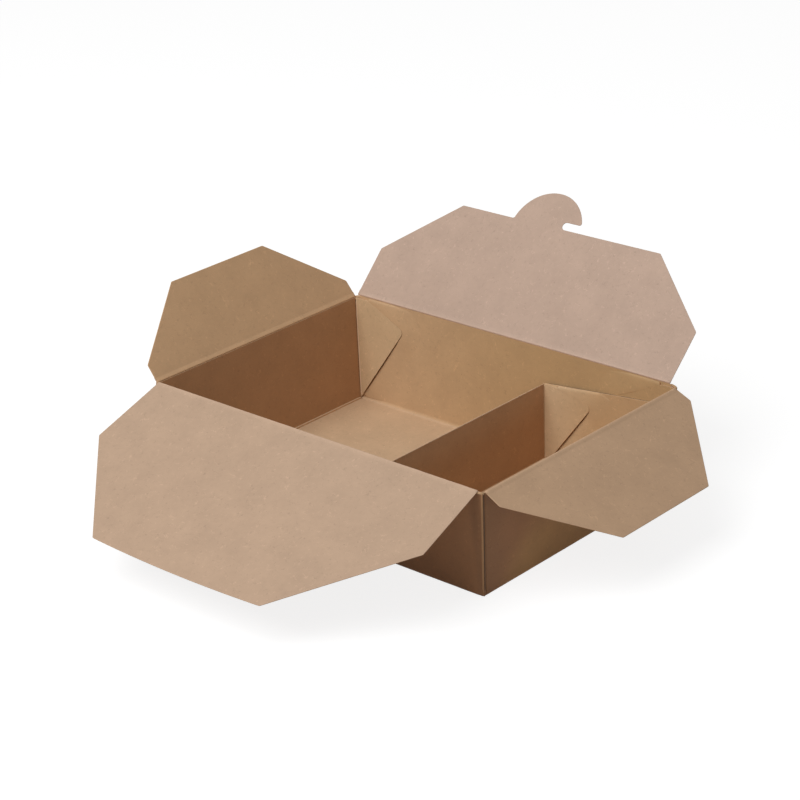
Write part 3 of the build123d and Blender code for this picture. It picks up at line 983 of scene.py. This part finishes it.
# %% Corner rolls
straight, bent = np.linspace(0.4, DEPTH - 1.5, 40), np.linspace(DEPTH - 1.2, DEPTH + 0.5, 9)
heights = np.concatenate([straight, bent])
low = heights < DEPTH - 0.3
for x, y in CORNERS:
    where = corner_name(x, y)
    line = wall_line(x, y, heights, 0.30, 0.30)
    curl = np.clip((heights - DEPTH + 1.5) / 2.3, 0, 1) ** 2
    line[:, :2] += np.outer(curl * 0.3, [x, y])
    radii = wavering(len(heights), 0.44, 0.05, 3) * (1 + 0.4 * curl)
    tube(f"{where}_corner_roll", line, radii, "tray", "tray", 14, small["roll"])
    # A near-black tube in the seam beside the roll: painted shade.
    line, radii = wall_line(x, y, heights[low], 0.28, 1.10), wavering(low.sum(), 0.47, 0.05, 3)
    tube(f"{where}_corner_seam_shade", line, radii, "tray", "tray", 12, small["shade"])

    lift = BACK_LIFT if y > 0 else FRONT_LIFT
    crease_y = y * (RIM[1] / 2 + lift * math.tan(LEAN) + 0.1)
    s = np.linspace(0, 1, 16)[:, None]
    start_at, turn_at, end_at = np.array([
        [x * 100.0, y * 68.8, DEPTH + 0.02],
        [x * 100.3, crease_y + y * 0.2, DEPTH + 0.3],
        [x * 95.5, crease_y, DEPTH + lift - 0.35],
    ])
    line = (1 - s) ** 2 * start_at + 2 * s * (1 - s) * turn_at + s**2 * end_at
    finish = finishes["tray"] if (x, y) == (-1, 1) else small["curl"]
    tube(f"{where}_corner_curl", line, wavering(16, 0.58, 0.04, 2), "tray", "tray", 12, finish)
print("corner rolls done")

# %% [markdown]
# ## Floor and light
# The picture is a cut-out on pure white. The floor is a pale surface that reaches white to the
# camera by a share of its own light, which only the camera and mirrors see, so it adds nothing
# to the box and a soft shadow stays. To the box it is a pale table that throws light up under
# the flaps. The light is what the picture tells: an even sky of soft light, and one large
# softbox above and a little in front.

# %% Stage
FLOOR_SIZE, FLOOR_GLOW, SKY = 24.0, 0.84, 0.28


def background_ray(start):
    """1 for rays that show the background: from the camera, a mirror or through glass."""
    kinds = ("Camera", "Glossy", "Transmission")
    rays = [start.node("LightPath", output=f"Is {kind} Ray") for kind in kinds]
    return start.maths("MINIMUM", rays[0] + rays[1] + rays[2], 1.0)


floor_finish = bpy.data.materials.new("studio_floor")
floor_finish.use_nodes = True
floor_finish.node_tree.nodes.clear()
start = Wire(floor_finish.node_tree)
seen = background_ray(start)
paleness = seen.tint((0.66, 0.65, 0.63), (0.28, 0.28, 0.28))
matt = start.node("BsdfDiffuse", None, {"Color": paleness})
glow = start.node("Emission", None, {"Color": (1, 1, 1, 1), "Strength": seen * FLOOR_GLOW})
both = start.node("AddShader", None, {0: matt, 1: glow})
start.node("OutputMaterial", None, {"Surface": both})

mesh = bpy.data.meshes.new("studio_floor")
square = np.array([[-1, -1, 0], [1, -1, 0], [1, 1, 0], [-1, 1, 0]]) * FLOOR_SIZE / 2
mesh.from_pydata(square.tolist(), [], [(0, 1, 2, 3)])
mesh.materials.append(floor_finish)
floor = bpy.data.objects.new("studio_floor", mesh)
bpy.context.scene.collection.objects.link(floor)

world = bpy.data.worlds.new("studio_sky")
world.use_nodes = True
world.node_tree.nodes.clear()
start = Wire(world.node_tree)
strength = background_ray(start) * (1 - SKY) + SKY
sky = start.node("Background", None, {"Color": (1, 1, 1, 1), "Strength": strength})
start.node("OutputWorld", None, {"Surface": sky})
bpy.context.scene.world = world
print("sky", SKY)

# %% Softbox
def softbox(name, direction, distance, size, level):
    """Area lamp aimed at the box. A white card square to it shows `level` of white."""
    lamp = bpy.data.lights.new(name, "AREA")
    lamp.shape, lamp.size = "SQUARE", size
    lamp.energy = level * math.pi**2 * distance**2
    away = Vector(unit(direction).tolist())
    made = bpy.data.objects.new(name, lamp)
    made.location = away * distance
    made.rotation_mode = "QUATERNION"
    made.rotation_quaternion = away.to_track_quat("Z", "Y")
    bpy.context.scene.collection.objects.link(made)
    return made


softbox("key_softbox", (-0.067, -0.56, 0.83), 1.5, 1.1, 0.77)
